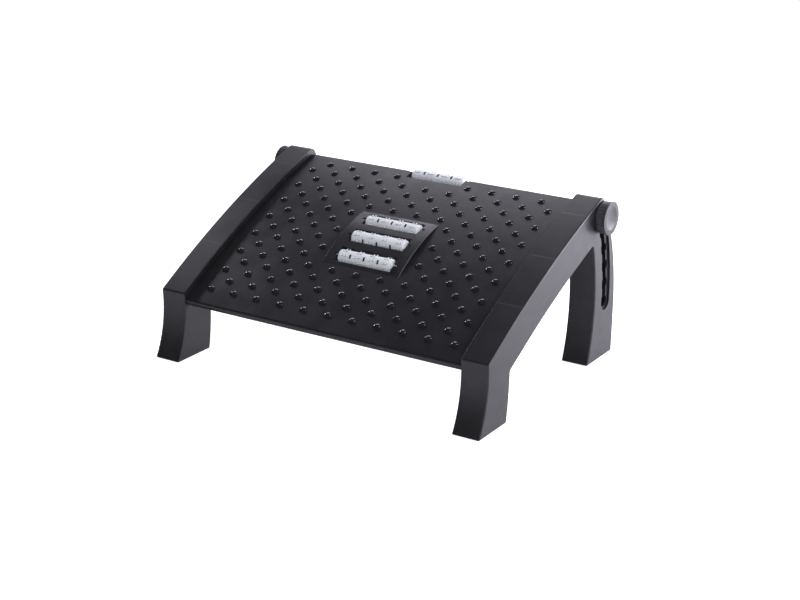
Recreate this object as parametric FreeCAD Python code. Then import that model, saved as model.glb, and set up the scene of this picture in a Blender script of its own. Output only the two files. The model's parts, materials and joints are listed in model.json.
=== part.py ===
import FreeCAD, Part
import math
import os

# Tilting under desk footrest. X runs across the footrest, Y from the user's
# side to the back, Z up. The origin is on the floor, under the middle.
# All sizes are in millimetres and all angles in degrees.

V = FreeCAD.Vector

# Whole footrest
overall_width = 450.0
overall_depth = 331.3
pad_proud = 0.8

# Cutting shapes run this far past the faces that they cut
cut_past = 1.0

# Tread curve of the platform, seen from the side
tread_radius = 1317.2
tread_slope = 30.5
pivot_setback = 37.2
pivot_height = 77.2
pivot_depth = 9.1

# Platform moulding
platform_overhang = 18.5
platform_past_knob = 8.07
platform_gap = 1.0
platform_skin = 2.5
lip_depth = 7.5
lip_round = 3.0
plan_corner_round = 3.5
rear_rim_depth = 12.0
skirt_depth = 18.0
skirt_rear_depth = 24.5
skirt_front_ramp = 14.0
skirt_rear_ramp = 13.0
skirt_rear_length = 31.0
rib_wall = 1.8
rib_depth = 10.0
rib_first_x = 62.0
rib_pitch_x = 66.0
cross_rib_first = 34.0
cross_rib_pitch = 34.0

# Nubs on the tread
nub_pitch = 33.76
nub_row_setback = 25.5
nub_rows = 8
nub_columns = 11
nub_height = 2.6
nub_width = 9.2
nub_foot = 0.3
nub_margin = 4.5
nub_rear_margin = 8.0

# Side frames
frame_width = 34.3
frame_rise = 8.2
bar_depth = 45.7
frame_wall = 2.5
frame_face = 3.0
front_edge_radius = 141.0
front_waist_height = 68.0
front_leg_back_setback = 65.8
front_leg_back_radius = 305.0
front_leg_back_waist = 55.0
rear_edge_radius = 265.0
rear_edge_height = 60.0
front_top_round = 3.0
rear_top_round = 8.5
toe_round = 1.0
crotch_round = 2.5
long_edge_round = 1.6
inner_edge_round = 0.8
cover_thickness = 2.5
cover_gap = 0.15
frame_rib_first = 72.0
frame_rib_to_knob = 32.93
frame_rib_count = 3
peg_radius = 2.5
peg_length = 9.0
peg_height = 27.0
peg_boss_wall = 2.0
peg_room = 1.0

# Screws that hold the covers and the roller panel
screw_radius = 1.5
screw_head_radius = 3.0
screw_head_height = 1.7
screw_length = 14.0
screw_boss_radius = 4.0
small_screw_length = 6.5
small_head_height = 1.3
small_head_radius = 2.4
small_screw_radius = 1.0

# Foot pads
pad_thickness = 3.0
pad_margin = 4.0
pad_round = 4.0
foot_floor = 4.5

# Front pivot
pin_radius = 4.0
pin_embed = 23.5
pin_end_gap = 0.5
bush_wall = 1.5
bush_length = 17.0
bush_flange_radius = 7.6
bush_flange = 0.8
pivot_boss_radius = 7.8
pivot_boss_end = 2.0
running_gap = 0.06

# Height slots in the rear legs
slot_rear_setback = 26.0
slot_front_setback = 29.1
slot_top_angle = 23.5
slot_step = 4.9
slot_steps = 5
slot_half_width = 4.4
lobe_radius = 7.6
recess_half_width = 11.0
recess_depth = 2.5
recess_floor = 2.5
tube_half_width = 9.0
tube_wall = 2.5

# Clamp knobs
stud_radius = 3.93
stud_length = 60.0
insert_radius = 5.5
insert_length = 17.0
knob_boss_radius = 8.0
knob_boss_length = 25.0
knob_boss_end = 1.0
washer_radius = 10.0
washer_thickness = 1.2
washer_seat_gap = 0.1
hub_radius = 9.0
grip_radius = 19.3
grip_depth = 10.4
grip_flutes = 28
flute_radius = 1.3
grip_clearance = 0.6
cap_radius = 20.4
cap_thickness = 1.6
cap_dish_radius = 14.0
cap_dish_depth = 1.5
cap_edge_round = 0.7
cap_spigot_radius = 12.0
cap_spigot_length = 2.0

# Roller panel, a low hump that drops into an opening of the platform
panel_width = 107.0
panel_length = 98.5
panel_setback = 102.5
panel_rise = 5.0
panel_skin = 2.5
panel_gap = 0.2
ledge_width = 10.0
ledge_thickness = 2.5
panel_screw_setback = 17.0
panel_screw_inset = 2.2
panel_side_round = 0.6

# Rollers
roller_radius = 8.5
roller_length = 73.0
roller_wall = 2.2
roller_end_round = 1.5
roller_pitch = 32.75
roller_depth = 4.5
roller_turns = [114.0, 156.0, 113.0]
stub_radius = 2.0
stub_length = 7.0
stub_gap = 0.06
stub_end_gap = 0.25
stub_mouth_width = 3.4
slot_columns = 3
slot_spacing = 19.25
roller_slot_width = 2.3
roller_slot_length = 5.0
pip_rows = 8
pip_radius = 0.9
pip_height = 1.2
pip_spacing = 4.0
window_length = 78.0
window_width = 22.5
rail_width = 6.5
rail_drop = 6.0
rail_overrun = 9.0

# Rear roller, in a notch of the platform's back edge
notch_depth = 16.0
notch_wall_depth = 12.0
rear_roller_setback = 1.6
rear_roller_depth = 7.0
rear_roller_turn = 101.5
rear_rail_length = 13.0
ear_wall = 2.5

# Values worked out from the sizes above
half_width = overall_width / 2
frame_inner = half_width - frame_width
front_y = -overall_depth / 2
rear_y = overall_depth / 2
pivot = V(0, front_y + pivot_setback, pivot_height)
platform_half = frame_inner - platform_gap
front_s = -platform_overhang
frame_top_n = frame_rise
frame_bottom_n = frame_rise - bar_depth
slot_radius = overall_depth - pivot_setback - slot_rear_setback
rear_leg_front_radius = slot_radius - slot_front_setback


def side_point(angle, radius, centre):
    """Point of a side view circle, its angle measured from the vertical towards the front."""
    a = math.radians(angle)
    return V(0, centre.y - radius * math.sin(a), centre.z + radius * math.cos(a))


class Curve:
    """A side view arc: s runs back along it from a start point, n stands out of it."""

    def __init__(self, centre, radius, angle):
        self.centre = centre
        self.radius = radius
        self.angle = angle

    def turn(self, s):
        return self.angle - math.degrees(s / self.radius)

    def point(self, s, n):
        return side_point(self.turn(s), self.radius + n, self.centre)

    def normal(self, s):
        return side_point(self.turn(s), 1, V(0, 0, 0))

    def locate(self, p):
        """The s and n of a point of the side view."""
        d = V(0, p.y - self.centre.y, p.z - self.centre.z)
        angle = math.degrees(math.atan2(-d.y, d.z))
        return math.radians(self.angle - angle) * self.radius, d.Length - self.radius


tread_centre = pivot - side_point(tread_slope, tread_radius - pivot_depth, V(0, 0, 0))
tread = Curve(tread_centre, tread_radius, tread_slope)


def hump_curve():
    """The roller panel's top arc, which starts and ends flush with the tread."""
    middle = front_s + panel_setback + panel_length / 2
    half_angle = panel_length / 2 / tread_radius
    half_chord = tread_radius * math.sin(half_angle)
    rise = panel_rise + tread_radius * (1 - math.cos(half_angle))
    radius = (half_chord ** 2 + rise ** 2) / (2 * rise)
    centre = tread.point(middle, panel_rise - radius)
    return Curve(centre, radius, tread.turn(middle)), middle


hump, panel_middle = hump_curve()
panel_front = panel_middle - panel_length / 2
panel_back = panel_middle + panel_length / 2
slot_low_angle = slot_top_angle - slot_step * slot_steps
rail_start = window_length / 2
rail_end = rail_start + rail_width


def around_pivot(radius, angle):
    a = math.radians(angle)
    return V(0, pivot.y + radius * math.cos(a), pivot.z + radius * math.sin(a))


knob_axis = around_pivot(slot_radius, slot_top_angle)
knob_s, knob_n = tread.locate(knob_axis)
rear_s = knob_s + platform_past_knob
rear_roller_s = rear_s - rear_roller_setback
notch_s = rear_s - notch_depth


def arc_edge(centre, start, end):
    """The short arc about a centre, from one point to another."""
    radius = (start - centre).Length
    bisector = (start - centre) + (end - centre)
    middle = centre + bisector * (radius / bisector.Length)
    return Part.Arc(start, middle, end).toShape()


def line_edge(start, end):
    return Part.LineSegment(start, end).toShape()


def extrude_side(edges, x0, x1):
    """Prism of a side view outline between two planes across the footrest."""
    face = Part.Face(Part.Wire(edges))
    face.translate(V(x0, 0, 0))
    return face.extrude(V(x1 - x0, 0, 0))


def section(curve, corners, x0, x1):
    """Prism whose corners are (s, n) pairs: equal n is joined by an arc, other pairs by a line."""
    edges = []
    for i, (s, n) in enumerate(corners):
        s_next, n_next = corners[(i + 1) % len(corners)]
        start = curve.point(s, n)
        end = curve.point(s_next, n_next)
        if abs(n - n_next) < 1e-9:
            edges.append(arc_edge(curve.centre, start, end))
        else:
            edges.append(line_edge(start, end))
    return extrude_side(edges, x0, x1)


def slab(curve, x0, x1, s0, s1, n0, n1):
    return section(curve, [(s0, n0), (s1, n0), (s1, n1), (s0, n1)], x0, x1)


def rod(p, radius, x0, x1):
    """Cylinder across the footrest, through a point of the side view."""
    low = min(x0, x1)
    return Part.makeCylinder(radius, abs(x1 - x0), V(low, p.y, p.z), V(1, 0, 0))


def band(radius, half_width, angle0, angle1, x0, x1):
    """Round-ended arc band about the pivot, such as a slot."""
    edges = []
    a = around_pivot(radius + half_width, angle0)
    b = around_pivot(radius + half_width, angle1)
    c = around_pivot(radius - half_width, angle1)
    d = around_pivot(radius - half_width, angle0)
    edges.append(arc_edge(pivot, a, b))
    edges.append(line_edge(b, c))
    edges.append(arc_edge(pivot, c, d))
    edges.append(line_edge(d, a))
    body = extrude_side(edges, x0, x1)
    for angle in (angle0, angle1):
        body = body.fuse(rod(around_pivot(radius, angle), half_width, x0, x1))
    return body.removeSplitter()


def fuse_all(shapes):
    body = shapes[0]
    if len(shapes) > 1:
        body = body.multiFuse(shapes[1:])
    return body.removeSplitter()


def cut_all(body, tools):
    return body.cut(Part.makeCompound(tools)).removeSplitter()


def mirror_x(shape):
    return shape.mirror(V(0, 0, 0), V(1, 0, 0))


def circles_meet(c1, r1, c2, r2, guess):
    """The crossing of two side view circles that lies nearer to a guess."""
    d = c2 - c1
    along = (d.Length ** 2 + r1 ** 2 - r2 ** 2) / (2 * d.Length)
    across = math.sqrt(r1 ** 2 - along ** 2)
    unit = d * (1 / d.Length)
    side = V(0, -unit.z, unit.y)
    options = [c1 + unit * along + side * across, c1 + unit * along - side * across]
    return min(options, key=lambda p: (p - guess).Length)


def frame_outline(inset):
    """Side view of a side frame, drawn in all round by an inset: edges, corners to round, feet."""
    ground = pad_proud + inset
    front_reach = math.sqrt(front_edge_radius ** 2 - (front_waist_height - pad_proud) ** 2)
    toe_angle = math.radians(90) - math.asin((front_waist_height - pad_proud) / front_edge_radius)
    toe_recess = toe_round * (1 / math.tan(toe_angle / 2) - 1)
    front_centre = V(0, front_y - toe_recess - front_reach, front_waist_height)
    front_radius = front_edge_radius + inset
    back_centre = V(0, front_y + front_leg_back_setback - front_leg_back_radius, front_leg_back_waist)
    back_radius = front_leg_back_radius - inset
    rear_centre = V(0, rear_y - rear_edge_radius, rear_edge_height)
    rear_radius = rear_edge_radius - inset
    leg_radius = rear_leg_front_radius + inset
    top_radius = tread_radius + frame_top_n - inset
    bottom_radius = tread_radius + frame_bottom_n + inset

    toe = V(0, front_centre.y + math.sqrt(front_radius ** 2 - (front_waist_height - ground) ** 2), ground)
    front_top = circles_meet(tread_centre, top_radius, front_centre, front_radius,
                             V(0, front_y, front_waist_height))
    rear_top = circles_meet(tread_centre, top_radius, rear_centre, rear_radius,
                            V(0, rear_y, rear_edge_height + rear_edge_radius))
    rear_side = V(0, rear_y - inset, rear_edge_height)
    heel = V(0, rear_y - inset, ground)
    rear_toe = V(0, pivot.y + math.sqrt(leg_radius ** 2 - (pivot_height - ground) ** 2), ground)
    rear_crotch = circles_meet(tread_centre, bottom_radius, pivot, leg_radius,
                               V(0, rear_y, pivot_height + bar_depth))
    front_crotch = circles_meet(tread_centre, bottom_radius, back_centre, back_radius,
                                V(0, front_y + front_leg_back_setback, front_leg_back_waist))
    front_heel = V(0, back_centre.y + math.sqrt(back_radius ** 2 - (front_leg_back_waist - ground) ** 2),
                   ground)

    edges = [
        arc_edge(front_centre, toe, front_top),
        arc_edge(tread_centre, front_top, rear_top),
        arc_edge(rear_centre, rear_top, rear_side),
        line_edge(rear_side, heel),
        line_edge(heel, rear_toe),
        arc_edge(pivot, rear_toe, rear_crotch),
        arc_edge(tread_centre, rear_crotch, front_crotch),
        arc_edge(back_centre, front_crotch, front_heel),
        line_edge(front_heel, toe),
    ]
    least = toe_round / 4
    corners = [
        (front_top, max(front_top_round - inset, least)),
        (rear_top, max(rear_top_round - inset, least)),
        (toe, max(toe_round - inset, least)),
        (heel, max(toe_round - inset, least)),
        (rear_toe, max(toe_round - inset, least)),
        (front_heel, max(toe_round - inset, least)),
        (rear_crotch, crotch_round + inset),
        (front_crotch, crotch_round + inset),
    ]
    feet = [(toe.y, front_heel.y), (rear_toe.y, heel.y)]
    return edges, corners, feet


def round_corners(body, corners):
    """Fillets the edges that run across the footrest at the given corners."""
    for p, radius in corners:
        chosen = []
        for edge in body.Edges:
            mid = edge.valueAt((edge.FirstParameter + edge.LastParameter) / 2)
            if abs(mid.y - p.y) < 1e-4 and abs(mid.z - p.z) < 1e-4:
                chosen.append(edge)
        body = body.makeFillet(radius, chosen)
    return body


def face_at(body, x):
    """The largest flat face of a body on one plane across the footrest."""
    found = [f for f in body.Faces if abs(f.CenterOfMass.x - x) < 1e-4 and f.BoundBox.XLength < 1e-4]
    return max(found, key=lambda f: f.Area)


def frame_prism(inset, x0, x1):
    """Prism of the side frame's outline, drawn in by an inset."""
    edges, corners = frame_outline(inset)[:2]
    return round_corners(extrude_side(edges, x0, x1), corners)


frame_feet = frame_outline(0)[2]
cover_back = frame_inner + cover_thickness
face_back = half_width - frame_face
recess_x = half_width - recess_depth
frame_rib_pitch = (knob_s - frame_rib_to_knob - frame_rib_first) / (frame_rib_count - 1)
rib_places = [frame_rib_first + i * frame_rib_pitch for i in range(frame_rib_count)]
bar_middle_n = frame_top_n - bar_depth / 2


def peg_points():
    """Two locating pegs low in each leg, at the middle of its width."""
    points = []
    for y0, y1 in frame_feet:
        points.append(V(0, (y0 + y1) / 2, peg_height))
        points.append(V(0, (y0 + y1) / 2 + peg_radius, peg_height / 2))
    return points


def pad_box(y0, y1, margin, z0, z1):
    """Foot pad, or its recess, under one foot."""
    x0 = frame_inner + frame_wall + margin
    x1 = half_width - margin
    box = Part.makeBox(x1 - x0, y1 - y0 - 2 * margin, z1 - z0, V(x0, y0 + margin, z0))
    upright = [e for e in box.Edges if e.BoundBox.ZLength > 0.9 * (z1 - z0)]
    return box.makeFillet(pad_round, upright)


def frame_insides():
    """Ribs, bosses, slot walls and foot floors inside a side frame."""
    parts = []
    for s in rib_places:
        parts.append(slab(tread, cover_back, half_width, s - rib_wall / 2, s + rib_wall / 2,
                          frame_bottom_n, frame_top_n))
        parts.append(rod(tread.point(s, bar_middle_n), screw_boss_radius, cover_back, half_width))
    for p in peg_points():
        parts.append(rod(p, peg_radius + peg_boss_wall, cover_back, half_width))
    parts.append(rod(pivot, pivot_boss_radius, cover_back, half_width))
    parts.append(band(slot_radius, tube_half_width + tube_wall, slot_low_angle, slot_top_angle,
                      cover_back, half_width))
    for y0, y1 in frame_feet:
        parts.append(Part.makeBox(frame_width, y1 - y0, foot_floor, V(cover_back, y0, pad_proud)))
    return fuse_all(parts)


def outer_shell():
    block = frame_prism(0, frame_inner, half_width)
    shell = block.makeFillet(long_edge_round, face_at(block, half_width).Edges)
    shell = shell.makeFillet(inner_edge_round, face_at(shell, frame_inner).Edges)
    shell = shell.cut(frame_prism(frame_wall, frame_inner, face_back))
    room = frame_prism(frame_wall / 2, frame_inner, face_back + frame_face / 2)
    shell = shell.fuse(frame_insides().common(room))
    cuts = []
    cuts.append(band(slot_radius, recess_half_width, slot_low_angle, slot_top_angle,
                     recess_x, half_width + cut_past))
    cuts.append(band(slot_radius, slot_half_width, slot_low_angle, slot_top_angle,
                     frame_inner, half_width))
    cuts.append(band(slot_radius, tube_half_width, slot_low_angle, slot_top_angle,
                     frame_inner, recess_x - recess_floor))
    for i in range(slot_steps + 1):
        lobe = around_pivot(slot_radius, slot_low_angle + i * slot_step)
        cuts.append(rod(lobe, lobe_radius, recess_x - recess_floor - cut_past, half_width))
    cuts.append(rod(pivot, pin_radius, frame_inner, frame_inner + pin_embed))
    for s in rib_places:
        cuts.append(rod(tread.point(s, bar_middle_n), screw_radius, cover_back, frame_inner + screw_length))
    for p in peg_points():
        cuts.append(rod(p, peg_radius, cover_back, cover_back + peg_length + peg_room))
    for y0, y1 in frame_feet:
        cuts.append(pad_box(y0, y1, pad_margin, 0, pad_thickness))
    return cut_all(shell, cuts)


def countersunk(p, x):
    """Countersunk screw whose head is flush with a plane and whose tip points outwards."""
    head = Part.makeCone(screw_head_radius, screw_radius, screw_head_height, V(x, p.y, p.z), V(1, 0, 0))
    return head.fuse(rod(p, screw_radius, x, x + screw_length)).removeSplitter()


def cover_screws():
    return [countersunk(tread.point(s, bar_middle_n), frame_inner) for s in rib_places]


def inner_cover():
    plate = frame_prism(frame_wall + cover_gap, frame_inner, cover_back)
    pegs = [rod(p, peg_radius, frame_inner, cover_back + peg_length) for p in peg_points()]
    plate = fuse_all([plate] + pegs)
    cuts = [
        band(slot_radius, slot_half_width, slot_low_angle, slot_top_angle,
             frame_inner - cut_past, cover_back + cut_past),
        rod(pivot, pin_radius, frame_inner - cut_past, cover_back + cut_past),
    ]
    return cut_all(plate, cuts + cover_screws())


def foot_pad(index):
    y0, y1 = frame_feet[index]
    return pad_box(y0, y1, pad_margin, 0, pad_thickness)


pin_inner_x = platform_half - bush_length


def pivot_pin():
    return rod(pivot, pin_radius, pin_inner_x + pin_end_gap, frame_inner + pin_embed)


def pivot_bush():
    body = rod(pivot, pin_radius + bush_wall, pin_inner_x, platform_half)
    flange = rod(pivot, bush_flange_radius, platform_half, platform_half + bush_flange)
    bore = rod(pivot, pin_radius + running_gap, pin_inner_x - cut_past, frame_inner)
    return body.fuse(flange).cut(bore).removeSplitter()


def near_panel(x, s):
    inside_x = abs(x) < panel_width / 2 + nub_margin
    inside_s = panel_front - nub_margin < s < panel_back + nub_margin
    near_notch = abs(x) < window_length / 2 + nub_margin and s > notch_s - nub_rear_margin - nub_margin
    return (inside_x and inside_s) or near_notch


def nub_blank():
    """Low dome on a short round foot, upright at the origin."""
    reach = nub_width / 2
    rise = nub_height - nub_foot
    cap = (rise ** 2 + reach ** 2) / (2 * rise)
    half_angle = math.asin(reach / cap) / 2
    bottom = V(0, 0, -platform_skin / 3)
    low = V(reach, 0, bottom.z)
    foot = V(reach, 0, nub_foot)
    middle = V(cap * math.sin(half_angle), 0, nub_height - cap + cap * math.cos(half_angle))
    top = V(0, 0, nub_height)
    outline = [line_edge(bottom, low), line_edge(low, foot), Part.Arc(foot, middle, top).toShape(),
               line_edge(top, bottom)]
    return Part.Face(Part.Wire(outline)).revolve(V(0, 0, 0), V(0, 0, 1), 360)


def tread_nubs():
    """Low domes in a staggered square pattern, left out round the rollers."""
    dome = nub_blank()
    nubs = []
    for row in range(2 * nub_rows):
        columns = nub_columns - row % 2
        s = front_s + nub_row_setback + row * nub_pitch / 2
        for column in range(columns):
            x = (column - (columns - 1) / 2) * nub_pitch
            if near_panel(x, s) or s > rear_s - nub_margin:
                continue
            p = tread.point(s, 0)
            nub = dome.copy()
            nub.Placement = FreeCAD.Placement(V(x, p.y, p.z), FreeCAD.Rotation(V(1, 0, 0), tread.turn(s)))
            nubs.append(nub)
    return nubs


def both_sides(shape):
    return [shape, mirror_x(shape)]


def skirt():
    """Deep wall along the platform's right side."""
    ramp_end = rear_s - skirt_rear_length
    corners = [
        (front_s, 0),
        (rear_s, 0),
        (rear_s, -skirt_rear_depth),
        (ramp_end, -skirt_rear_depth),
        (ramp_end - skirt_rear_ramp, -skirt_depth),
        (front_s + skirt_front_ramp, -skirt_depth),
        (front_s, -lip_depth),
    ]
    return section(tread, corners, platform_half - platform_skin, platform_half)


def cross_ribs():
    """Ribs under the tread that run across the platform, clear of the panel's opening."""
    clear = ledge_width + rib_wall
    places = []
    s = front_s + cross_rib_first
    while s < notch_s - rib_wall:
        if not panel_front - clear < s < panel_back + clear:
            places.append(s)
        s += cross_rib_pitch
    return places


def long_rib(x):
    """Rib under the tread from the lip to the rear rim, no lower than the lip at its front end."""
    inside = -platform_skin / 2
    corners = [
        (front_s - inside, inside),
        (rear_s + inside, inside),
        (rear_s + inside, -rib_depth),
        (front_s + skirt_front_ramp, -rib_depth),
        (front_s - inside, -lip_depth),
    ]
    return section(tread, corners, x, x + rib_wall)


def boss_rib(s, depth, length):
    """Ties a boss on the skirt to the tread with an upright rib."""
    return slab(tread, platform_half - length, platform_half, s - rib_wall / 2, s + rib_wall / 2, -depth, 0)


rear_axis = tread.point(rear_roller_s, -rear_roller_depth)
ear_s = rear_roller_s + stub_radius + ear_wall
rear_rail_n = -rear_roller_depth - rail_drop


def rear_bearing():
    """Block beside the notch that bears the rear roller's stub, with a round ear behind the seat."""
    block = slab(tread, rail_start, rail_end, rear_s - rear_rail_length, rear_s, rear_rail_n, 0)
    block = block.common(shell_envelope())
    ear = rod(rear_axis, stub_radius + ear_wall, rail_start, rail_end)
    foot = slab(tread, rail_start, rail_end, rear_roller_s, ear_s, rear_rail_n, -rear_roller_depth)
    return fuse_all([block, ear, foot])


def platform():
    skin = slab(tread, -platform_half, platform_half, front_s, rear_s, -platform_skin, 0)
    lip = slab(tread, -platform_half, platform_half, front_s, front_s + platform_skin, -lip_depth, 0)
    rim = slab(tread, -platform_half, platform_half, rear_s - platform_skin, rear_s, -rear_rim_depth, 0)
    side = skirt()
    shell = fuse_all([skin, lip, rim] + both_sides(side))
    shell = round_corners(shell, [(tread.point(front_s, 0), lip_round), (tread.point(rear_s, 0), lip_round)])
    shell = shell.common(plan_block())
    parts = [shell.fuse(Part.makeCompound(tread_nubs()))]
    for x in (rib_first_x, rib_first_x + rib_pitch_x):
        parts += both_sides(long_rib(x))
    reach = platform_half - platform_skin / 2
    for s in cross_ribs():
        parts.append(slab(tread, -reach, reach, s, s + rib_wall, -rib_depth, -platform_skin / 2))
    ledge_x = panel_width / 2
    parts.append(slab(tread, -ledge_x - ledge_width / 2, ledge_x + ledge_width / 2,
                      panel_front - ledge_width / 2, panel_back + ledge_width / 2,
                      -platform_skin - ledge_thickness, -platform_skin / 2))
    parts.append(slab(tread, -rail_end, rail_end, notch_s - platform_skin, notch_s,
                      -notch_wall_depth, -platform_skin / 2))
    parts += both_sides(rear_bearing())
    pivot_boss = rod(pivot, pivot_boss_radius, pin_inner_x - pivot_boss_end, platform_half)
    knob_boss = rod(knob_axis, knob_boss_radius, platform_half - knob_boss_length, platform_half)
    parts += both_sides(pivot_boss)
    parts += both_sides(knob_boss.common(shell_envelope()))
    parts += both_sides(boss_rib(0, pivot_depth, bush_length))
    parts += both_sides(boss_rib(knob_s, -knob_n, knob_boss_length))
    body = fuse_all(parts)

    cuts = []
    opening_x = ledge_x + panel_gap
    cuts.append(slab(tread, -opening_x, opening_x, panel_front - panel_gap, panel_back + panel_gap,
                     -platform_skin, cut_past))
    inner_x = ledge_x - ledge_width / 2
    cuts.append(slab(tread, -inner_x, inner_x, panel_front + ledge_width / 2, panel_back - ledge_width / 2,
                     -skirt_rear_depth, cut_past))
    cuts.append(slab(tread, -rail_start, rail_start, notch_s, rear_s + cut_past, -skirt_rear_depth, cut_past))
    cuts += both_sides(rod(pivot, pin_radius + bush_wall, pin_inner_x, platform_half + cut_past))
    cuts += both_sides(rod(knob_axis, insert_radius, platform_half - insert_length, platform_half + cut_past))
    cuts += both_sides(rod(knob_axis, stud_radius + running_gap,
                           platform_half - knob_boss_length + knob_boss_end, platform_half))
    cuts += both_sides(stub_slot(tread, rear_roller_s, -rear_roller_depth, rear_axis))
    for x, p, n in panel_screw_places():
        cuts.append(under_screw(x, p, n))
    return cut_all(body, cuts)


def plan_block():
    """Block that holds the whole platform, its two back corners rounded as seen from above."""
    reach = rear_s - front_s
    box = Part.makeBox(2 * platform_half, reach, 2 * reach, V(-platform_half, -reach, -reach))
    upright = [e for e in box.Edges if e.CenterOfMass.y > -cut_past and e.BoundBox.ZLength > reach]
    box = box.makeFillet(plan_corner_round, upright)
    turn = FreeCAD.Rotation(V(1, 0, 0), tread.turn(rear_s))
    box.Placement = FreeCAD.Placement(tread.point(rear_s, 0), turn)
    return box


def shell_envelope():
    """Everything under the rounded tread, used to trim what stands near its edges."""
    block = slab(tread, -platform_half, platform_half, front_s, rear_s, -skirt_rear_depth, 0)
    return round_corners(block, [(tread.point(rear_s, 0), lip_round)]).common(plan_block())


def stub_slot(curve, s, n, axis):
    """Seat for a roller's stub, with a mouth above it that is narrower than the stub."""
    x0 = rail_start - cut_past
    x1 = roller_length / 2 + stub_length + stub_end_gap
    seat = rod(axis, stub_radius + stub_gap, x0, x1)
    half = stub_mouth_width / 2
    mouth = slab(curve, x0, x1, s - half, s + half, n, cut_past)
    return seat.fuse(mouth)


def under_screw(x, p, n):
    """Small screw driven upwards from below: head towards the floor."""
    shank = Part.makeCylinder(small_screw_radius, small_screw_length, V(x, p.y, p.z), n)
    head = Part.makeCylinder(small_head_radius, small_head_height, V(x, p.y, p.z), n * -1)
    return shank.fuse(head).removeSplitter()


def panel_screw_places():
    """Four screws through the ledge, up into the panel's corner bosses."""
    places = []
    reach = panel_width / 2 - panel_screw_inset
    for s in (panel_front + panel_screw_setback, panel_back - panel_screw_setback):
        for x in (-reach, reach):
            places.append((x, tread.point(s, -platform_skin - ledge_thickness), tread.normal(s)))
    return places


roller_arc_n = -roller_depth
roller_places = [(i - 1) * roller_pitch * hump.radius / (hump.radius - roller_depth) for i in range(3)]


def hump_window(s):
    """Opening of the panel over one roller, square to the panel's surface there."""
    box = Part.makeBox(window_length, window_width, 4 * panel_skin,
                       V(-window_length / 2, -window_width / 2, -2 * panel_skin))
    box.Placement = FreeCAD.Placement(hump.point(s, 0), FreeCAD.Rotation(V(1, 0, 0), hump.turn(s)))
    return box


def panel_rail():
    """Bearing rail under the panel's skin, along the ends of its three windows."""
    s0 = roller_places[0] - rail_overrun
    s1 = roller_places[-1] + rail_overrun
    return slab(hump, rail_start, rail_end, s0, s1, roller_arc_n - rail_drop, -panel_skin / 2)


def window_wall(s):
    """Wall under the panel's skin behind a window, which closes the view past the roller."""
    s0 = s + window_width / 2
    reach = rail_start + rail_width / 2
    return slab(hump, -reach, reach, s0, s0 + rib_wall, roller_arc_n - rail_drop, -panel_skin / 2)


def rounded_sides(block, x):
    """Rounds a hump's two long top edges, which lie on its upper face."""
    chosen = []
    for edge in block.Edges:
        mid = edge.valueAt((edge.FirstParameter + edge.LastParameter) / 2)
        if abs(abs(mid.x) - x) < 1e-4 and abs(hump.locate(mid)[1]) < 1e-4:
            chosen.append(edge)
    return block.makeFillet(panel_side_round, chosen)


def roller_panel():
    half = panel_width / 2
    deep = 2 * (panel_rise + platform_skin)
    hump_block = slab(hump, -half, half, -panel_length, panel_length, -deep, 0)
    plan = slab(tread, -half, half, panel_front, panel_back, -platform_skin, deep)
    outer = rounded_sides(hump_block.common(plan), half)
    inner = half - panel_skin
    hollow_block = slab(hump, -inner, inner, -panel_length, panel_length, -deep - cut_past, -panel_skin)
    hollow_plan = slab(tread, -inner, inner, panel_front + panel_skin, panel_back - panel_skin,
                       -platform_skin - cut_past, deep)
    body = outer.cut(hollow_block.common(hollow_plan))
    parts = [body] + both_sides(panel_rail())
    parts += [window_wall(s) for s in roller_places[:-1]]
    for x, p, n in panel_screw_places():
        boss = Part.makeCylinder(small_head_radius, deep, V(x, p.y, p.z), n)
        parts.append(boss.common(outer))
    body = fuse_all(parts)
    cuts = []
    for s in roller_places:
        axis = hump.point(s, roller_arc_n)
        cuts.append(hump_window(s))
        cuts += both_sides(stub_slot(hump, s, roller_arc_n, axis))
    for x, p, n in panel_screw_places():
        cuts.append(under_screw(x, p, n))
    return cut_all(body, cuts)


def roller_blank():
    """A hollow roller along X at the origin, with its first row of slots facing up."""
    half = roller_length / 2
    drum = Part.makeCylinder(roller_radius, roller_length, V(-half, 0, 0), V(1, 0, 0))
    rims = [e for e in drum.Edges if abs(abs(e.CenterOfMass.x) - half) < 1e-4]
    drum = drum.makeFillet(roller_end_round, rims)
    parts = [drum]
    parts.append(Part.makeCylinder(stub_radius, roller_length + 2 * stub_length,
                                   V(-half - stub_length, 0, 0), V(1, 0, 0)))
    for row in range(pip_rows):
        a = math.radians(360 / pip_rows * row)
        out = V(0, math.sin(a), math.cos(a))
        for column in range(slot_columns + 1):
            for side in (-1, 1):
                x = (column - slot_columns / 2) * slot_spacing + side * pip_spacing / 2
                parts.append(Part.makeCylinder(pip_radius, pip_height + roller_wall / 2,
                                               V(x, 0, 0) + out * (roller_radius - roller_wall / 2), out))
    body = fuse_all(parts)
    cuts = [Part.makeCylinder(roller_radius - roller_wall, roller_length - 2 * roller_wall,
                              V(-half + roller_wall, 0, 0), V(1, 0, 0))]
    for column in range(slot_columns):
        x = (column - (slot_columns - 1) / 2) * slot_spacing
        cuts.append(Part.makeBox(roller_slot_width, roller_slot_length, 4 * roller_radius,
                                 V(x - roller_slot_width / 2, -roller_slot_length / 2, -2 * roller_radius)))
    return cut_all(body, cuts)


blank = roller_blank()


def placed_roller(axis, surface_turn, slot_turn):
    """Roller whose first slot row points slot_turn round from the way back along the tread."""
    body = blank.copy()
    turn = FreeCAD.Rotation(V(1, 0, 0), surface_turn + slot_turn - 90)
    body.Placement = FreeCAD.Placement(axis, turn)
    return body


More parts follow.
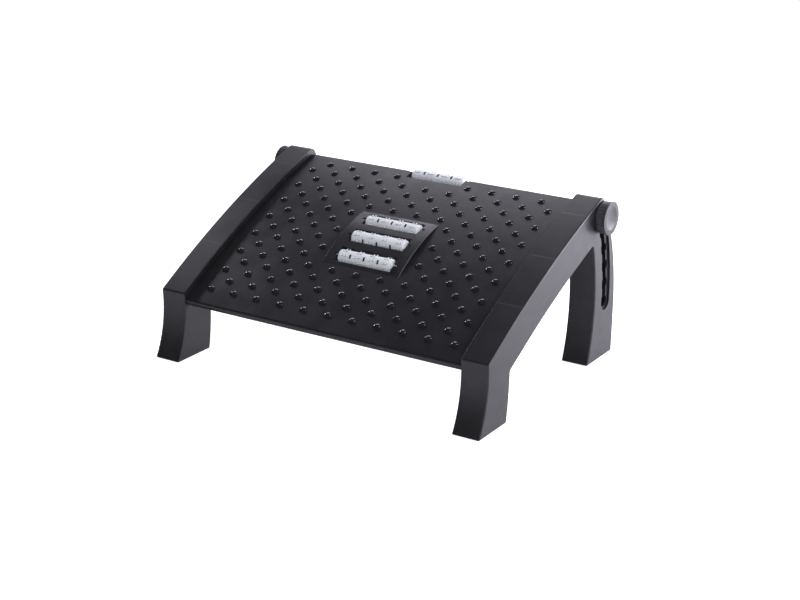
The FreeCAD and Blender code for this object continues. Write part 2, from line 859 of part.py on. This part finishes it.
def knob_grip():
    """Fluted grip with a hub that reaches into the recess, and a pocket for the cap."""
    back = half_width + grip_clearance
    front = back + grip_depth
    hub_x = recess_x + washer_seat_gap + washer_thickness
    grip = rod(knob_axis, grip_radius, back, front)
    grip = grip.makeFillet(cap_edge_round, [e for e in grip.Edges if abs(e.CenterOfMass.x - back) < 1e-4])
    hub = rod(knob_axis, hub_radius, hub_x, front)
    body = grip.fuse(hub)
    flutes = []
    for i in range(grip_flutes):
        a = math.radians(360 / grip_flutes * i)
        out = V(0, math.cos(a), math.sin(a))
        centre = knob_axis + out * (grip_radius + flute_radius / 2)
        flutes.append(rod(centre, flute_radius, back - cut_past, front + cut_past))
    pocket = rod(knob_axis, cap_spigot_radius, front - cap_spigot_length, front + cut_past)
    bore = rod(knob_axis, stud_radius, hub_x - cut_past, front)
    return cut_all(body, flutes + [pocket, bore])


def knob_cap():
    """Dished cap that plugs into the grip."""
    front = half_width + grip_clearance + grip_depth
    disc = rod(knob_axis, cap_radius, front, front + cap_thickness)
    disc = disc.makeFillet(cap_edge_round, [e for e in disc.Edges if e.BoundBox.YLength > cap_radius])
    spigot = rod(knob_axis, cap_spigot_radius, front - cap_spigot_length, front + cap_thickness / 3)
    ball = (cap_dish_radius ** 2 + cap_dish_depth ** 2) / (2 * cap_dish_depth)
    centre = V(front + cap_thickness - cap_dish_depth + ball, knob_axis.y, knob_axis.z)
    return disc.fuse(spigot).cut(Part.makeSphere(ball, centre)).removeSplitter()


def knob_stud():
    outer = half_width + grip_clearance + grip_depth - cap_spigot_length
    return rod(knob_axis, stud_radius, outer - stud_length, outer)


def clamp_washer():
    x = recess_x + washer_seat_gap
    disc = rod(knob_axis, washer_radius, x, x + washer_thickness)
    return disc.cut(rod(knob_axis, stud_radius + running_gap, x - cut_past, x + washer_thickness + cut_past))


def threaded_insert():
    body = rod(knob_axis, insert_radius, platform_half - insert_length, platform_half)
    return body.cut(rod(knob_axis, stud_radius + running_gap, platform_half - insert_length - cut_past,
                        platform_half + cut_past))


def save(name, shape):
    path = os.path.join("parts", name + ".step")
    shape.exportStep(path)
    box = shape.BoundBox
    print("%-26s solids %2d valid %s volume %9.1f  x %7.1f %7.1f  y %7.1f %7.1f  z %6.1f %6.1f" % (
        name, len(shape.Solids), shape.isValid(), shape.Volume,
        box.XMin, box.XMax, box.YMin, box.YMax, box.ZMin, box.ZMax))


def save_pair(name, shape):
    save("right_" + name, shape)
    save("left_" + name, mirror_x(shape))


def main():
    os.makedirs("parts", exist_ok=True)
    save_pair("outer_shell", outer_shell())
    save_pair("inner_cover", inner_cover())
    save_pair("cover_screws", Part.makeCompound(cover_screws()))
    save_pair("front_foot_pad", foot_pad(0))
    save_pair("rear_foot_pad", foot_pad(1))
    save_pair("pivot_pin", pivot_pin())
    save_pair("pivot_bush", pivot_bush())
    save("platform", platform())
    save("roller_panel", roller_panel())
    save("panel_screws", Part.makeCompound([under_screw(x, p, n) for x, p, n in panel_screw_places()]))
    for name, s, turn in zip(("front", "middle", "back"), roller_places, roller_turns):
        save(name + "_roller", placed_roller(hump.point(s, roller_arc_n), hump.turn(s), turn))
    save("edge_roller", placed_roller(rear_axis, tread.turn(rear_roller_s), rear_roller_turn))
    save_pair("knob_grip", knob_grip())
    save_pair("knob_cap", knob_cap())
    save_pair("knob_stud", knob_stud())
    save_pair("clamp_washer", clamp_washer())
    save_pair("threaded_insert", threaded_insert())


main()
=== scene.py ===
import json
import math
import bpy
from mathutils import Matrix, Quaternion, Vector


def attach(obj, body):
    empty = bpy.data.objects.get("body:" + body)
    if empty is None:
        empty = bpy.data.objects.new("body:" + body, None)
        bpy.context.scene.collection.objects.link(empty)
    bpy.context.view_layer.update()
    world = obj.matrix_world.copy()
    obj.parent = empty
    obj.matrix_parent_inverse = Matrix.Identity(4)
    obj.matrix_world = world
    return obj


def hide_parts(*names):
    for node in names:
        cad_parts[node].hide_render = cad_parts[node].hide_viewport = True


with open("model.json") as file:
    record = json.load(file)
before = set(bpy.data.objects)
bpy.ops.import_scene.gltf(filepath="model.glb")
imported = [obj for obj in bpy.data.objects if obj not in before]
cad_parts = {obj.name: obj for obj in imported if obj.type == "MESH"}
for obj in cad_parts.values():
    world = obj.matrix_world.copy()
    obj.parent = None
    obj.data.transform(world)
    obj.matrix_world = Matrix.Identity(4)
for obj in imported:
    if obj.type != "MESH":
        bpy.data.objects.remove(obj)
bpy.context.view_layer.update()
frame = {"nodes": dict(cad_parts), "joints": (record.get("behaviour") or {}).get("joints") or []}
mm = 0.001


# Camera, where the photographer stood: in front of the footrest, to the right
# of its middle and a little above it. The long lens keeps the sides nearly
# parallel.
azimuth = math.radians(31.83)
elevation = math.radians(19.36)
camera_roll = math.radians(0.74)
camera_distance = 1.9618
camera_lens = 74.02
camera_aim = Vector((29.8 * mm, -16.85 * mm, 81.0 * mm))

back = Vector((math.sin(azimuth) * math.cos(elevation),
               -math.cos(azimuth) * math.cos(elevation),
               math.sin(elevation)))
camera = bpy.data.objects.new("camera", bpy.data.cameras.new("camera"))
bpy.context.collection.objects.link(camera)
camera.data.lens = camera_lens
camera.rotation_mode = "QUATERNION"
camera.location = camera_aim + back * camera_distance
camera.rotation_quaternion = back.to_track_quat("Z", "Y") @ Quaternion((0, 0, 1), camera_roll)
bpy.context.scene.camera = camera
bpy.context.scene.view_settings.view_transform = "Standard"


# Studio: a white floor in a dim room, with a bright low band of wall behind.
# Soft boxes stand high on both sides, high and low behind, and in front as a
# weak fill. Two of them light the piece without showing in its reflections.
room_glow = 0.05
wall_glow = 2.6
wall_colour = (0.95, 0.97, 1.0, 1)
lamp_colour = (0.93, 0.90, 1.0)
floor_size = 24
floor_glow = 0.85


class Pattern:
    """Node maths on one place socket, in metres."""

    def __init__(self, tree, coordinate):
        self.tree = tree
        self.place = tree.nodes.new("ShaderNodeTexCoord").outputs[coordinate]

    def feed(self, socket, value):
        if isinstance(value, bpy.types.NodeSocket):
            self.tree.links.new(value, socket)
        else:
            socket.default_value = value

    def calc(self, operation, *values):
        node = self.tree.nodes.new("ShaderNodeMath")
        node.operation = operation
        for socket, value in zip(node.inputs, values):
            self.feed(socket, value)
        return node.outputs[0]

    def xyz(self):
        node = self.tree.nodes.new("ShaderNodeSeparateXYZ")
        self.feed(node.inputs[0], self.place)
        return list(node.outputs)

    def noise(self, size, detail=2, stretch=(1, 1, 1)):
        """Noise with blobs of about this size, in metres."""
        mapping = self.tree.nodes.new("ShaderNodeMapping")
        mapping.inputs["Scale"].default_value = stretch
        self.feed(mapping.inputs["Vector"], self.place)
        node = self.tree.nodes.new("ShaderNodeTexNoise")
        node.inputs["Scale"].default_value = 1 / size
        node.inputs["Detail"].default_value = detail
        self.feed(node.inputs["Vector"], mapping.outputs[0])
        return node.outputs["Fac"]

    def between(self, value, start, end, low=0.0, high=1.0):
        """Spreads a value from start to end over low to high, softly."""
        node = self.tree.nodes.new("ShaderNodeMapRange")
        node.interpolation_type = "SMOOTHSTEP"
        for socket, number in zip(node.inputs, (value, start, end, low, high)):
            self.feed(socket, number)
        return node.outputs[0]

    def distance(self, across, up):
        """Straight distance from the two distances at right angles."""
        return self.calc("SQRT", self.calc("ADD", self.calc("MULTIPLY", across, across),
                                           self.calc("MULTIPLY", up, up)))

    def off_grid(self, value, pitch):
        """How far a value lies past the nearest line of an even grid."""
        line = self.calc("MULTIPLY", self.calc("ROUND", self.calc("DIVIDE", value, pitch)), pitch)
        return self.calc("SUBTRACT", value, line)


class Finish(Pattern):
    """A surface finish whose pattern is fixed to the piece."""

    def __init__(self, name, colour, roughness):
        self.material = bpy.data.materials.new(name)
        self.material.use_nodes = True
        super().__init__(self.material.node_tree, "Object")
        self.shader = self.tree.nodes["Principled BSDF"]
        self.colour = (*colour, 1)
        self.roughness = roughness
        self.shader.inputs["Base Color"].default_value = self.colour
        self.shader.inputs["Roughness"].default_value = roughness

    def tint(self, share, colour):
        """Lays another colour over the finish by a share."""
        node = self.tree.nodes.new("ShaderNodeMix")
        node.data_type = "RGBA"
        self.feed(node.inputs["Factor"], share)
        self.feed(node.inputs["A"], self.colour)
        node.inputs["B"].default_value = (*colour, 1)
        self.colour = node.outputs["Result"]
        self.feed(self.shader.inputs["Base Color"], self.colour)

    def gloss(self, share, roughness):
        """Lays another roughness over the finish by a share."""
        node = self.tree.nodes.new("ShaderNodeMix")
        self.feed(node.inputs["Factor"], share)
        self.feed(node.inputs["A"], self.roughness)
        node.inputs["B"].default_value = roughness
        self.roughness = node.outputs["Result"]
        self.feed(self.shader.inputs["Roughness"], self.roughness)

    def relief(self, height, depth):
        """Raises the surface by a height share of a depth in metres."""
        node = self.tree.nodes.new("ShaderNodeBump")
        node.inputs["Distance"].default_value = depth
        self.feed(node.inputs["Height"], height)
        below = self.shader.inputs["Normal"]
        if below.is_linked:
            self.tree.links.new(below.links[0].from_socket, node.inputs["Normal"])
        self.tree.links.new(node.outputs["Normal"], below)


def lit_room():
    """Dim surround that is bright in a low band towards the back."""
    room = bpy.data.worlds.new("surround")
    bpy.context.scene.world = room
    room.use_nodes = True
    sky = Pattern(room.node_tree, "Generated")
    towards_back, up = sky.xyz()[1:]
    wall = sky.calc("MULTIPLY", sky.between(up, 0.32, 0.10), sky.between(towards_back, 0.1, 0.6))
    background = room.node_tree.nodes["Background"]
    sky.feed(background.inputs["Strength"], sky.between(wall, 0, 1, room_glow, wall_glow))
    background.inputs["Color"].default_value = wall_colour


def softbox(name, direction, distance, width, height, radiance, mirrored=True):
    """Rectangular lamp that faces the footrest, and shows in reflections or not."""
    lamp = bpy.data.objects.new(name, bpy.data.lights.new(name, "AREA"))
    lamp.data.shape = "RECTANGLE"
    lamp.data.size = width
    lamp.data.size_y = height
    lamp.data.energy = radiance * math.pi * width * height
    lamp.data.color = lamp_colour
    lamp.visible_glossy = mirrored
    towards = Vector(direction).normalized()
    lamp.location = camera_aim + towards * distance
    lamp.rotation_mode = "QUATERNION"
    lamp.rotation_quaternion = towards.to_track_quat("Z", "Y")
    bpy.context.collection.objects.link(lamp)


def floor_paper():
    """White paper that is overexposed for the camera, as a studio sweep is."""
    paper = Finish("floor_paper", (0.86, 0.87, 0.88), 0.8)
    paper.tint(paper.between(paper.noise(0.4), 0.4, 0.6, 0, 0.2), (0.84, 0.85, 0.86))
    paper.relief(paper.noise(2 * mm), 0.02 * mm)
    seen = paper.tree.nodes.new("ShaderNodeLightPath").outputs["Is Camera Ray"]
    paper.shader.inputs["Emission Color"].default_value = (0.98, 0.985, 1.0, 1)
    paper.feed(paper.shader.inputs["Emission Strength"], paper.calc("MULTIPLY", seen, floor_glow))
    return paper.material


lit_room()
left_high = (-0.81, 0.26, 0.52)
right_high = (0.67, 0.26, 0.69)
back_high = (-0.36, 0.68, 0.62)
back_low = (0.55, 0.80, 0.12)
front_high = (0.25, -0.75, 0.60)
softbox("softbox_left", left_high, distance=2.0, width=0.24, height=0.24, radiance=34)
softbox("softbox_right", right_high, distance=2.0, width=0.6, height=0.6, radiance=24, mirrored=False)
softbox("softbox_small", right_high, distance=1.9, width=0.30, height=0.30, radiance=11)
softbox("softbox_back", back_high, distance=2.4, width=1.4, height=0.9, radiance=3.2)
softbox("softbox_low", back_low, distance=1.8, width=1.4, height=0.8, radiance=13)
softbox("softbox_front", front_high, distance=2.6, width=2.4, height=1.6, radiance=3.0, mirrored=False)

bpy.ops.object.select_all(action="DESELECT")
bpy.ops.mesh.primitive_plane_add(size=floor_size)
floor = bpy.context.object
floor.name = "floor"
floor.data.materials.append(floor_paper())


# Side frames' outer shells: dark grey injection moulded plastic with a fine
# spark-eroded grain. Three faint sink marks cross each top bar, over the ribs
# and screw bosses inside.
tread_radius = 1317.2 * mm
tread_slope = math.radians(30.5)
tread_centre_y = 535.46 * mm
tread_centre_z = -1049.9 * mm
sink_places = [72 * mm, 155 * mm, 238 * mm]
sink_half_width = 1.8 * mm
sink_depth = 0.06 * mm
sink_colour = (0.045, 0.045, 0.048)
bar_height = 7.5 * mm


def moulded(name, colour, smooth, rough, grain=0.5 * mm, depth=0.012 * mm):
    """Moulded plastic: fine grain, slight mottling and a few faint rub marks."""
    mottle_size, speckle_size, sheen_size, rub_size = 18 * mm, 1.1 * mm, 35 * mm, 6 * mm
    lighter = tuple(min(1.35 * c, 0.9) for c in colour)
    darker = tuple(0.8 * c for c in colour)
    rubbed = tuple(min(1.8 * c + 0.01, 0.92) for c in colour)
    skin = Finish(name, colour, rough)
    skin.tint(skin.between(skin.noise(mottle_size, 3), 0.4, 0.65, 0, 0.5), lighter)
    skin.tint(skin.between(skin.noise(speckle_size), 0.45, 0.62, 0, 0.4), darker)
    skin.tint(skin.between(skin.noise(rub_size, 3, (1, 0.12, 1)), 0.66, 0.74, 0, 0.35), rubbed)
    skin.gloss(skin.between(skin.noise(sheen_size, 4), 0.35, 0.65), smooth)
    skin.relief(skin.noise(grain), depth)
    return skin


def dress(material, *names):
    """Gives nodes their one material."""
    for name in names:
        materials = frame["nodes"][name].data.materials
        materials.clear()
        materials.append(material)


def both(name):
    return ["right_" + name, "left_" + name]


def tread_place(skin):
    """Place across, distance back along the tread's curve from the pivot, and height above it."""
    x, y, z = skin.xyz()
    ahead = skin.calc("SUBTRACT", tread_centre_y, y)
    above = skin.calc("SUBTRACT", z, tread_centre_z)
    angle = skin.calc("ARCTAN2", ahead, above)
    along = skin.calc("MULTIPLY", skin.calc("SUBTRACT", tread_slope, angle), tread_radius)
    return x, along, skin.calc("SUBTRACT", skin.distance(ahead, above), tread_radius)


def sink_marks(skin):
    """Shallow marks that cross the bar's top over its inner ribs."""
    along, height = tread_place(skin)[1:]
    on_top = skin.between(height, bar_height - 1.5 * mm, bar_height)
    for place in sink_places:
        off = skin.calc("ABSOLUTE", skin.calc("SUBTRACT", along, place))
        mark = skin.calc("MULTIPLY", skin.between(off, sink_half_width, 0.4 * mm), on_top)
        skin.tint(skin.calc("MULTIPLY", mark, 0.5), sink_colour)
        skin.relief(mark, -sink_depth)


frame_skin = moulded("frame_plastic", (0.016, 0.016, 0.0175), 0.33, 0.40)
sink_marks(frame_skin)
dress(frame_skin.material, *both("outer_shell"))


# Inner covers: plates of the same plastic, a shade darker, pressed into the
# shells on pegs. Their countersunk screws are black zinc plated steel.
def plated_steel(name, colour, rough):
    """Plated steel with fine turning lines round X."""
    steel = Finish(name, colour, rough)
    steel.shader.inputs["Metallic"].default_value = 1
    steel.tint(steel.between(steel.noise(4 * mm, 3), 0.4, 0.7, 0, 0.5), tuple(0.7 * c for c in colour))
    steel.relief(steel.noise(0.25 * mm, 1, (4, 1, 1)), 0.006 * mm)
    steel.gloss(steel.between(steel.noise(2 * mm, 3), 0.3, 0.7), rough + 0.15)
    return steel.material


cover_skin = moulded("cover_plastic", (0.012, 0.012, 0.013), 0.40, 0.50)
dress(cover_skin.material, *both("inner_cover"))
black_steel = plated_steel("black_steel", (0.10, 0.10, 0.105), 0.35)
dress(black_steel, *both("cover_screws"))


# Foot pads: black rubber, die cut and glued into the pockets under the feet.
# They are plain and a little coarser in grain than the plastic.
rubber = moulded("pad_rubber", (0.018, 0.018, 0.018), 0.7, 0.85, grain=0.8 * mm, depth=0.03 * mm)
dress(rubber.material, *both("front_foot_pad"), *both("rear_foot_pad"))


# Pivot pins, clamp studs and washers: bright zinc plated steel. The bushes are
# natural acetal, and the threaded inserts are turned brass.
fine_depth = 0.004 * mm
bright_steel = plated_steel("bright_steel", (0.62, 0.62, 0.64), 0.25)
dress(bright_steel, *both("pivot_pin"), *both("knob_stud"), *both("clamp_washer"))
bush_skin = moulded("bush_acetal", (0.72, 0.72, 0.68), 0.3, 0.4, grain=0.6 * mm, depth=fine_depth)
dress(bush_skin.material, *both("pivot_bush"))
brass = plated_steel("insert_brass", (0.72, 0.52, 0.25), 0.25)
dress(brass, *both("threaded_insert"))


# Platform: one large moulding in near black satin plastic, with low polished
# domes on the tread, a rolled front lip, skirts and ribs.
dome_pitch = 33.76 * mm
dome_start = 7 * mm
dome_reach = 4.6 * mm
dome_roughness = 0.12


def polished_domes(skin):
    """Domes on two interleaved square grids shine more than the tread round them."""
    x, along, height = tread_place(skin)
    offs = []
    for shift in (0, dome_pitch / 2):
        across = skin.off_grid(skin.calc("SUBTRACT", x, shift), dome_pitch)
        back_along = skin.off_grid(skin.calc("SUBTRACT", along, dome_start + shift), dome_pitch)
        offs.append(skin.distance(across, back_along))
    dome = skin.calc("MULTIPLY", skin.between(skin.calc("MINIMUM", *offs), dome_reach, dome_reach - 0.3 * mm),
                     skin.between(height, 0, 0.15 * mm))
    skin.gloss(dome, dome_roughness)
    skin.feed(skin.shader.inputs["Specular IOR Level"], skin.between(dome, 0, 1, 0.5, 1.0))


platform_skin = moulded("platform_plastic", (0.012, 0.012, 0.0135), 0.31, 0.38)
polished_domes(platform_skin)
dress(platform_skin.material, "platform")


# Roller panel: a smoother near black moulding, a low hump that drops into the
# platform from above. Four black plated screws from below hold it.
panel_half = 53.5 * mm
hump_radius = 207.7 * mm
hump_centre_y = 69.68 * mm
hump_centre_z = -37.4 * mm
# Colour of the painted highlight line on the hump's two long top edges.
edge_highlight_colour = (0.13, 0.13, 0.135)


def painted_edge_highlights(skin):
    """Paints a pale highlight line along the hump's two long top edges."""
    x, y, z = skin.xyz()
    ahead = skin.calc("SUBTRACT", y, hump_centre_y)
    above = skin.calc("SUBTRACT", z, hump_centre_z)
    near_side = skin.between(skin.calc("ABSOLUTE", x), panel_half - 0.8 * mm, panel_half - 0.3 * mm)
    near_top = skin.between(skin.distance(ahead, above), hump_radius - 0.9 * mm, hump_radius - 0.4 * mm)
    edge = skin.calc("MULTIPLY", near_side, near_top)
    # Painted highlight: a pale line tinted along the hump's top edges.
    skin.tint(skin.calc("MULTIPLY", edge, 0.8), edge_highlight_colour)


panel_skin = moulded("panel_plastic", (0.011, 0.011, 0.0125), 0.34, 0.42)
painted_edge_highlights(panel_skin)
dress(panel_skin.material, "roller_panel")
dress(black_steel, "panel_screws")


# Rollers: four hollow mouldings in light cool grey plastic, alike. Each has
# round ends with a stub that snaps into its seat, rows of paired pips round it
# and three slots through, with painted shade on the faces inside.
roller_radius = 8.5 * mm
roller_length = 73 * mm
roller_wall = 2.2 * mm
roller_end_round = 1.5 * mm
stub_radius = 2 * mm
stub_length = 7 * mm
small_round = 0.3 * mm
slot_columns = 3
slot_spacing = 19.25 * mm
slot_width = 2.3 * mm
slot_length = 5 * mm
pip_rows = 8
pip_columns = slot_columns + 1
pip_radius = 0.9 * mm
pip_height = 1.4 * mm
pip_root = pip_height / 2
pip_spacing = 4 * mm
# Where each roller's slots point: degrees from straight back, by way of up.
slot_directions = {"front_roller": 147.9, "middle_roller": 180.7, "back_roller": 128.5, "edge_roller": 119.9}


def select_only(piece):
    bpy.ops.object.select_all(action="DESELECT")
    piece.select_set(True)
    bpy.context.view_layer.objects.active = piece


def apply_place(piece):
    select_only(piece)
    bpy.ops.object.transform_apply(location=True, rotation=True, scale=True)


def finish_modifier(piece, kind, **settings):
    """Adds a modifier with its settings and applies it."""
    modifier = piece.modifiers.new(kind.lower(), kind)
    for setting, value in settings.items():
        setattr(modifier, setting, value)
    select_only(piece)
    bpy.ops.object.modifier_apply(modifier=modifier.name)


def combine(piece, tool, operation):
    """Boolean of a piece with a tool, which is then thrown away."""
    finish_modifier(piece, "BOOLEAN", object=tool, operation=operation, solver="EXACT")
    bpy.data.objects.remove(tool)


def join(pieces):
    bpy.ops.object.select_all(action="DESELECT")
    for piece in pieces:
        piece.select_set(True)
    bpy.context.view_layer.objects.active = pieces[0]
    bpy.ops.object.join()
    return bpy.context.object


def rod_along_x(radius, length, vertices, place=(0, 0, 0)):
    bpy.ops.object.select_all(action="DESELECT")
    bpy.ops.mesh.primitive_cylinder_add(vertices=vertices, radius=radius, depth=length, location=place,
                                        rotation=(0, math.radians(90), 0))
    rod = bpy.context.object
    apply_place(rod)
    return rod


def roller_pip(x, angle):
    """Short round pip that stands on the drum, with its root in the wall."""
    middle = roller_radius + (pip_height - pip_root) / 2
    place = (x, -middle * math.sin(angle), middle * math.cos(angle))
    bpy.ops.mesh.primitive_cylinder_add(vertices=20, radius=pip_radius, depth=pip_height + pip_root,
                                        location=place, rotation=(angle, 0, 0))
    pip = bpy.context.object
    apply_place(pip)
    finish_modifier(pip, "BEVEL", width=small_round, segments=2, limit_method="ANGLE")
    return pip


def roller_slot(x):
    """Block that cuts a slot through both walls of the drum."""
    bpy.ops.object.select_all(action="DESELECT")
    bpy.ops.mesh.primitive_cube_add(size=1, location=(x, 0, 0),
                                    scale=(slot_width, slot_length, 4 * roller_radius))
    cutter = bpy.context.object
    apply_place(cutter)
    return cutter


def roller_plastic():
    """Light plastic, with painted shade in the corners round the pips and a painted highlight on their tops.
    """
    skin = moulded("roller_plastic", (0.74, 0.79, 0.78), 0.35, 0.5, grain=0.6 * mm, depth=0.008 * mm)
    own = skin.tree.nodes.new("ShaderNodeAttribute")
    own.attribute_name = "drum_place"
    skin.place = own.outputs["Vector"]
    x, y, z = skin.xyz()
    reach = skin.distance(y, z)
    turn = skin.calc("MULTIPLY", skin.calc("ARCTAN2", y, z), roller_radius)
    off_row = skin.off_grid(turn, 2 * math.pi * roller_radius / pip_rows)
    off_pair = skin.off_grid(skin.calc("SUBTRACT", x, slot_spacing / 2), slot_spacing)
    off_pip = skin.calc("SUBTRACT", skin.calc("ABSOLUTE", off_pair), pip_spacing / 2)
    away = skin.distance(off_pip, off_row)
    # Painted shade: a darker ring round the root of each pip.
    pip_corner_shade = skin.calc("MULTIPLY", skin.between(away, pip_radius + 0.9 * mm, pip_radius + 0.2 * mm),
                       skin.between(reach, roller_radius + 0.6 * mm, roller_radius + 0.2 * mm))
    skin.tint(skin.calc("MULTIPLY", pip_corner_shade, 0.75), (0.16, 0.165, 0.18))
    # Painted highlight: the tops of the pips are tinted near white.
    skin.tint(skin.between(reach, roller_radius + 0.4 * mm, roller_radius + 0.8 * mm), (0.95, 0.95, 0.96))
    return skin.material


def roller_moulding():
    """One roller about the X axis, with its slots straight up and down."""
    drum = rod_along_x(roller_radius, roller_length, 72)
    finish_modifier(drum, "BEVEL", width=roller_end_round, segments=5, limit_method="ANGLE",
                    angle_limit=math.radians(60))
    combine(drum, rod_along_x(roller_radius - roller_wall, roller_length - 2 * roller_wall, 48), "DIFFERENCE")
    slots = [roller_slot((column - (slot_columns - 1) / 2) * slot_spacing) for column in range(slot_columns)]
    combine(drum, join(slots), "DIFFERENCE")
    pips = []
    for row in range(pip_rows):
        for column in range(pip_columns):
            for side in (-1, 1):
                x = (column - (pip_columns - 1) / 2) * slot_spacing + side * pip_spacing / 2
                pips.append(roller_pip(x, math.radians(360 / pip_rows * row)))
    combine(drum, join(pips), "UNION")
    stub_end = roller_length / 2 + stub_length
    for side in (-1, 1):
        stub = rod_along_x(stub_radius, stub_length + roller_end_round, 32,
                           (side * (stub_end - (stub_length + roller_end_round) / 2), 0, 0))
        finish_modifier(stub, "BEVEL", width=small_round, segments=2, limit_method="ANGLE")
        combine(drum, stub, "UNION")
    select_only(drum)
    bpy.ops.object.shade_smooth_by_angle(angle=math.radians(35))
    return drum


def dress_roller(drum):
    """Plastic outside, and a near black finish as painted shade on the faces inside the drum's wall."""
    places = drum.data.attributes.new("drum_place", "FLOAT_VECTOR", "POINT")
    for vertex in drum.data.vertices:
        places.data[vertex.index].vector = vertex.co
    drum.data.materials.clear()
    drum.data.materials.append(roller_plastic())
    # Painted shade: a near black finish for the drum's inside faces, where only shade falls.
    drum.data.materials.append(moulded("roller_inside_shade", (0.012, 0.012, 0.013), 0.6, 0.7).material)
    inside_radius = roller_radius - 0.4 * mm
    inside_half = (roller_length - roller_wall) / 2
    for face in drum.data.polygons:
        x, y, z = face.center
        if math.hypot(y, z) < inside_radius and abs(x) < inside_half:
            face.material_index = 1


roller_axes = {joint["child"]: joint["pos_m"] for joint in frame["joints"]
               if joint["child"] in slot_directions}
pattern_roller = roller_moulding()
dress_roller(pattern_roller)
for name, direction in slot_directions.items():
    roller = pattern_roller.copy()
    roller.data = pattern_roller.data.copy()
    bpy.context.collection.objects.link(roller)
    roller.name = name + "_moulding"
    roller.rotation_euler = (math.radians(direction - 90), 0, 0)
    roller.location = roller_axes[name]
    apply_place(roller)
    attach(roller, name)
    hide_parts(name)
bpy.data.objects.remove(pattern_roller)


# Clamp knobs: a black fluted grip, pressed on the stud, and a semi-gloss grey
# cap that plugs its face, with a flat rim and a round dish for the finger.
knob_grain = 0.5 * mm
cap_shine = 0.33
grip_skin = moulded("grip_plastic", (0.06, 0.058, 0.063), 0.20, 0.28, grain=knob_grain, depth=fine_depth)
dress(grip_skin.material, *both("knob_grip"))
cap_skin = moulded("cap_plastic", (0.03, 0.031, 0.032), 0.30, 0.36, grain=knob_grain, depth=fine_depth)
cap_skin.shader.inputs["Specular IOR Level"].default_value = cap_shine
dress(cap_skin.material, *both("knob_cap"))
